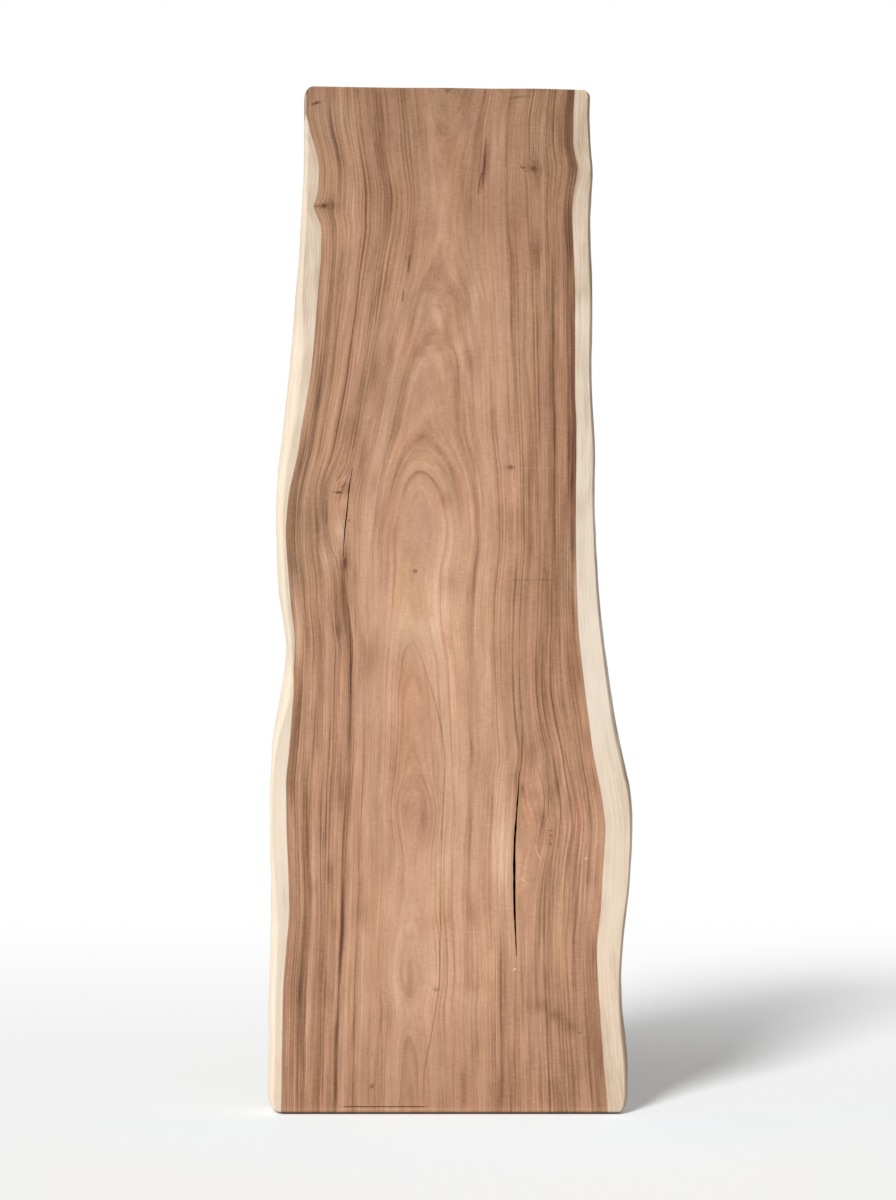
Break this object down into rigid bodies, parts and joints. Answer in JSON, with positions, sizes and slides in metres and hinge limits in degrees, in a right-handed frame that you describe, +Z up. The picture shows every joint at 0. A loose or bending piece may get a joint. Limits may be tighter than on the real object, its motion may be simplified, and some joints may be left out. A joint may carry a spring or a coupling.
{
  "type": "live-edge wood slab",
  "caption": "Live-edge hardwood slab sawn lengthwise from a log, with pale sapwood edges and drying checks, standing on its cut end.",
  "frame": {"origin": "on the floor, under the middle of the slab's box, at its lower cut end", "axes": "+Z up along the grain, -Y out of the show face, +X to the viewer's right"},
  "size_m": [0.8583, 0.07, 2.4019],
  "materials": {
    "wood": "sanded, unoiled"
  },
  "bodies": {
    "root": {"slab": "wood"}
  },
  "joints": []
}
